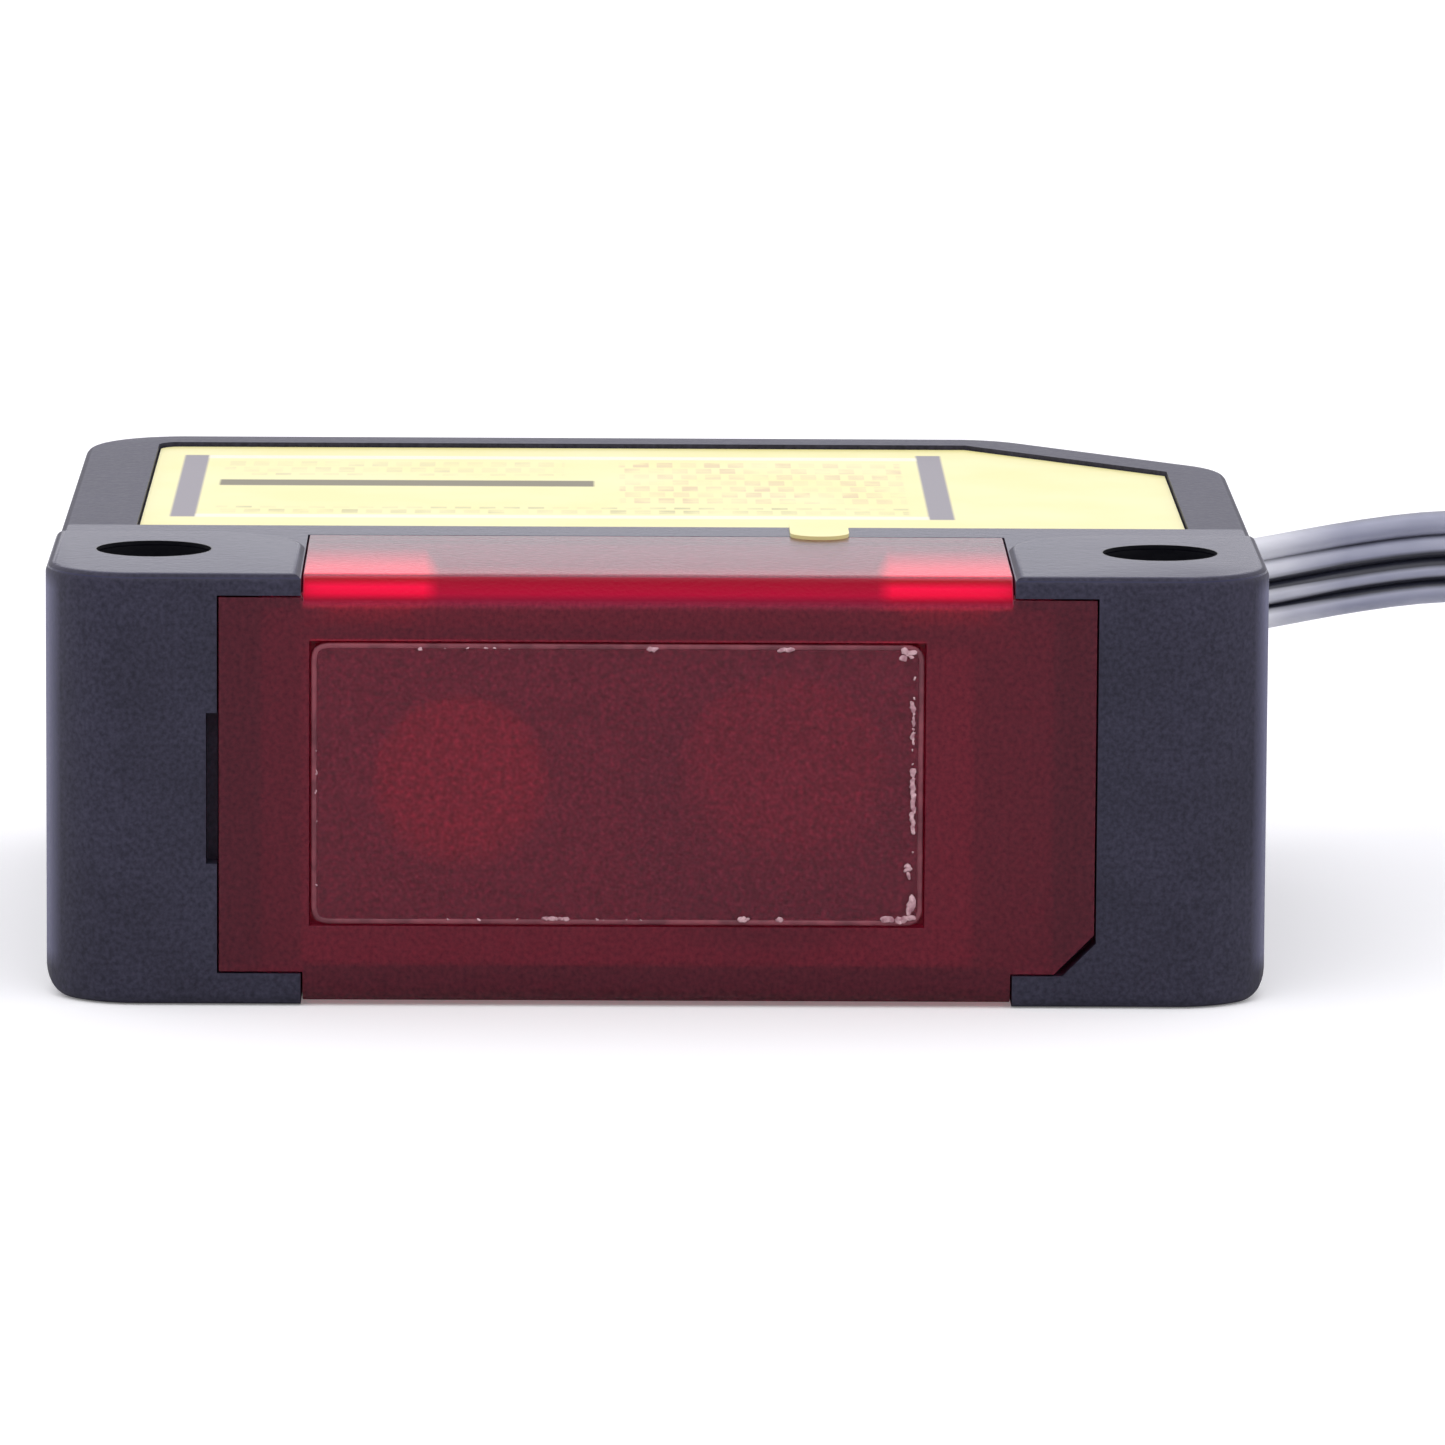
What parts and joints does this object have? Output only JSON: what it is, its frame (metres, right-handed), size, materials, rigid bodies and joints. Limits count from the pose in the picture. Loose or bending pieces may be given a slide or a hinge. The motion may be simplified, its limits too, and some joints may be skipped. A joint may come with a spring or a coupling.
{
  "type": "laser sensor",
  "caption": "Compact photoelectric laser sensor head with red front cover, front ears with through holes, and a flat lead with a small plug.",
  "frame": {"origin": "under the middle of the body, on its large lower face", "axes": "+X across the ears, +Y from the optical front to the back, +Z through the thickness"},
  "size_m": [0.0905, 0.0614, 0.012],
  "materials": {
    "housing_plastic": "fine moulded grain",
    "cover_plastic": "translucent dark red, satin",
    "window_plastic": "polished",
    "window_glue": "clear adhesive with pale flecks",
    "label_film": "printed film",
    "lid_plastic": "moulded",
    "aperture_film": "matt black",
    "optics_plastic": "matt black",
    "lens_plastic": "polished",
    "holder_brass": "turned",
    "can_steel": "plated",
    "filter_glass": "coated",
    "diode_package": "clear epoxy over black",
    "board_laminate": "solder mask",
    "shield_steel": "tinned",
    "chip_epoxy": "moulded epoxy",
    "capacitor_ceramic": "ceramic",
    "contact_brass": "gold plated",
    "indicator_resin": "clear resin",
    "grommet_rubber": "soft moulded",
    "core_insulation": "insulation",
    "lead_jacket": "satin jacket",
    "tie_nylon": "nylon",
    "plug_plastic": "moulded",
    "plug_cover_plastic": "translucent"
  },
  "bodies": {
    "root": {"housing": "housing_plastic", "front_cover": "cover_plastic", "window_plate": "window_plastic", "window_glue": "window_glue", "label": "label_film", "lid": "lid_plastic", "aperture_plate": "aperture_film", "optics_block": "optics_plastic", "emitter_lens": "lens_plastic", "receiver_lens": "lens_plastic", "laser_holder": "holder_brass", "laser_diode": "can_steel", "receiver_filter": "filter_glass", "photodiode": "diode_package", "optics_board": "board_laminate", "shield_can": "shield_steel", "amplifier_chip": "chip_epoxy", "main_board": "board_laminate", "control_chip": "chip_epoxy", "driver_chip": "chip_epoxy", "board_capacitors": "capacitor_ceramic", "link_pins": "contact_brass", "indicator_left": "indicator_resin", "indicator_right": "indicator_resin", "cable_grommet": "grommet_rubber", "cable_cores": "core_insulation", "cable": "lead_jacket", "cable_coil": "lead_jacket", "cable_tail": "lead_jacket", "coil_tie": "tie_nylon", "plug_body": "plug_plastic", "plug_cover": "plug_cover_plastic", "plug_contacts": "contact_brass"}
  },
  "joints": []
}
